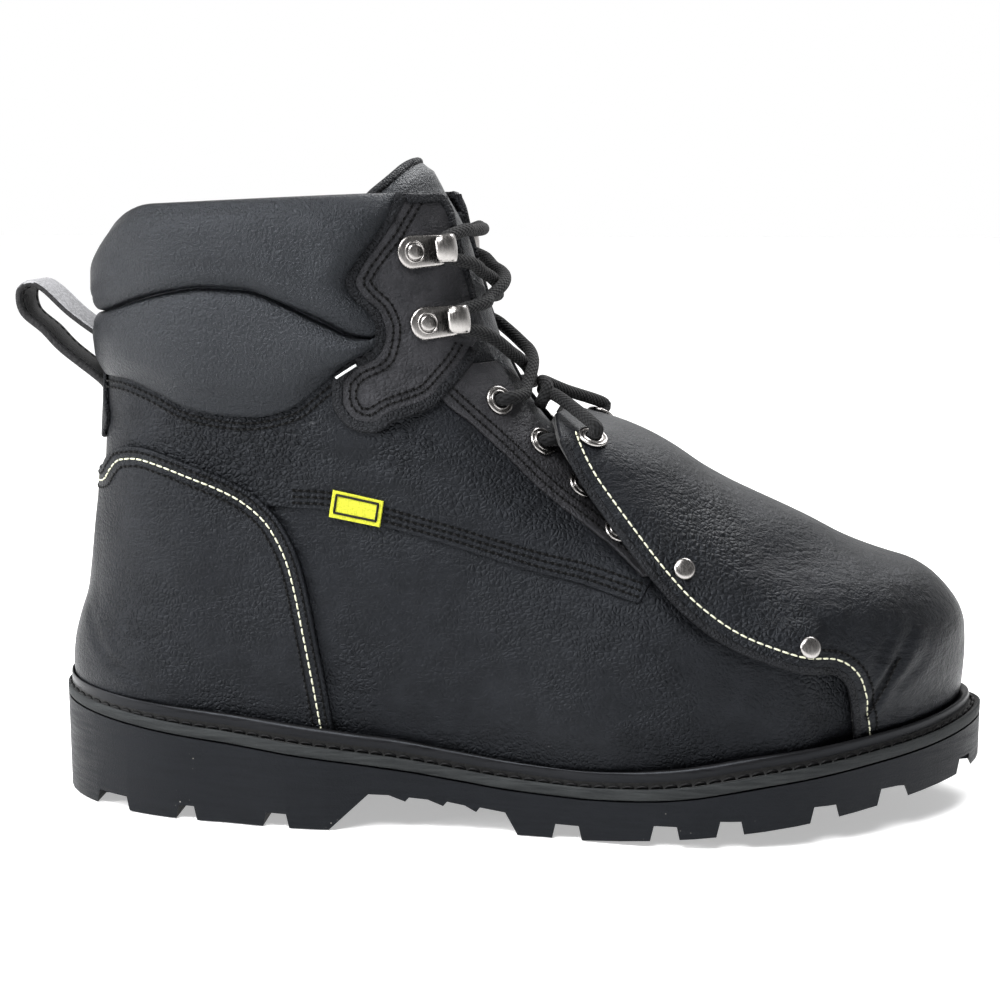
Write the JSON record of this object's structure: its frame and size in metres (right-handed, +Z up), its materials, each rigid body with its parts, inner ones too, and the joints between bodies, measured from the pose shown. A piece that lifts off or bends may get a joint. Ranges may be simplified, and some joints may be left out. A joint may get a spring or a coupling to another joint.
{
  "type": "metatarsal guard boot",
  "caption": "Laced ankle-high work boot with padded collar, welted lug sole with heel, and a leather guard over toe and instep.",
  "frame": {"origin": "centre of the heel's underside, on the floor", "axes": "+X from heel to toe along the sole, +Z up, -Y towards the outer side of the foot"},
  "size_m": [0.3272, 0.1099, 0.214],
  "materials": {
    "leather": "grained black leather, semi matt",
    "cuff": "smooth padded dark synthetic leather",
    "rubber": "matt black moulded rubber",
    "welt": "dark grey trimmed welt edge",
    "board": "dark felt insole",
    "lace": "braided black lace",
    "nickel": "dark polished nickel",
    "label": "bright yellow woven tag with a plain black frame"
  },
  "bodies": {
    "root": {"back_stay": "leather", "collar": "cuff", "eyelet_inner_1": "nickel", "eyelet_inner_2": "nickel", "eyelet_inner_3": "nickel", "eyelet_inner_4": "nickel", "eyelet_outer_1": "nickel", "eyelet_outer_2": "nickel", "eyelet_outer_3": "nickel", "eyelet_outer_4": "nickel", "eyestay_inner": "leather", "eyestay_outer": "leather", "facing_inner": "leather", "facing_outer": "leather", "guard_eyelet_inner": "nickel", "guard_eyelet_outer": "nickel", "heel_counter": "leather", "hook_inner_1": "nickel", "hook_inner_2": "nickel", "hook_outer_1": "nickel", "hook_outer_2": "nickel", "insole": "board", "label": "label", "lace_bar_2": "lace", "lace_bar_3": "lace", "lace_bar_4": "lace", "lace_bar_top": "lace", "lace_cross_1": "lace", "lace_cross_2": "lace", "lace_cross_3": "lace", "met_guard": "leather", "outsole": "rubber", "pull_loop": "leather", "rivet_inner_1": "nickel", "rivet_inner_2": "nickel", "rivet_outer_1": "nickel", "rivet_outer_2": "nickel", "tongue": "cuff", "upper": "leather", "welt": "welt"}
  },
  "joints": []
}
